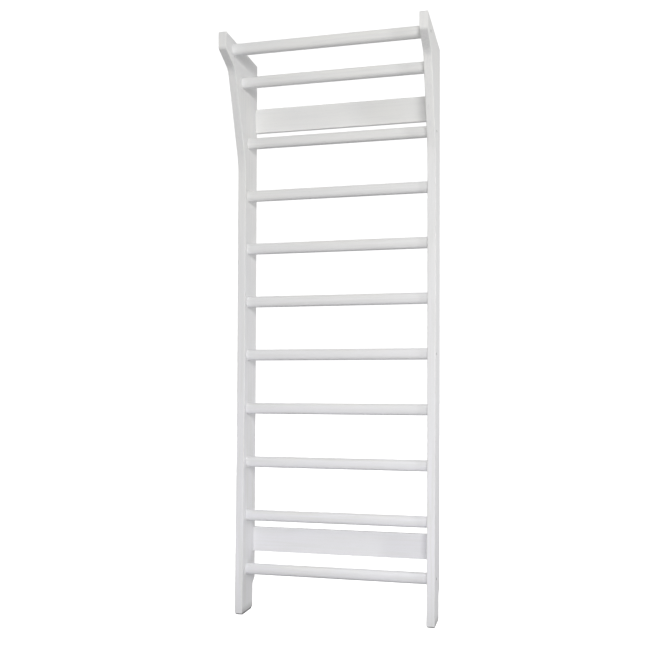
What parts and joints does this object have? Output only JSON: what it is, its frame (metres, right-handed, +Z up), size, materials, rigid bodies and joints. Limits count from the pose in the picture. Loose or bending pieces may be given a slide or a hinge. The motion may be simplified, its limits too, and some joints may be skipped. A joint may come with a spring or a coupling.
{
  "type": "swedish wall bars",
  "caption": "Tall white-painted wooden wall bars: shaped side boards with forward heads carry oval exercise bars and flat back rails, with skirting cut-outs and foot pads.",
  "frame": {"origin": "on the floor, under the middle of the width and of the whole depth from the wall to the front of the heads", "axes": "+Z up, +X along the bars to the right as seen from the room, -Y towards the room; the wall plane is at y = +0.175 m"},
  "size_m": [0.76, 0.35, 2.15],
  "materials": {
    "painted_board": "satin white paint on wood",
    "painted_bar": "satin white paint on wood",
    "painted_rail": "satin white paint on wood",
    "screw_steel": "blackened steel",
    "dowel_beech": "bare beech",
    "foot_rubber": "matt"
  },
  "bodies": {
    "root": {"left_upright": "painted_board", "right_upright": "painted_board", "bar_01": "painted_bar", "bar_02": "painted_bar", "bar_03": "painted_bar", "bar_04": "painted_bar", "bar_05": "painted_bar", "bar_06": "painted_bar", "bar_07": "painted_bar", "bar_08": "painted_bar", "bar_09": "painted_bar", "bar_10": "painted_bar", "bar_11": "painted_bar", "upper_back_rail": "painted_rail", "lower_back_rail": "painted_rail", "left_screw_bar_01": "screw_steel", "left_screw_bar_03": "screw_steel", "left_screw_bar_07": "screw_steel", "left_screw_bar_11": "screw_steel", "right_screw_bar_01": "screw_steel", "right_screw_bar_03": "screw_steel", "right_screw_bar_07": "screw_steel", "right_screw_bar_11": "screw_steel", "left_upper_dowel_upper_back_rail": "dowel_beech", "left_lower_dowel_upper_back_rail": "dowel_beech", "left_upper_dowel_lower_back_rail": "dowel_beech", "left_lower_dowel_lower_back_rail": "dowel_beech", "right_upper_dowel_upper_back_rail": "dowel_beech", "right_lower_dowel_upper_back_rail": "dowel_beech", "right_upper_dowel_lower_back_rail": "dowel_beech", "right_lower_dowel_lower_back_rail": "dowel_beech", "left_foot_pad": "foot_rubber", "right_foot_pad": "foot_rubber"}
  },
  "joints": []
}
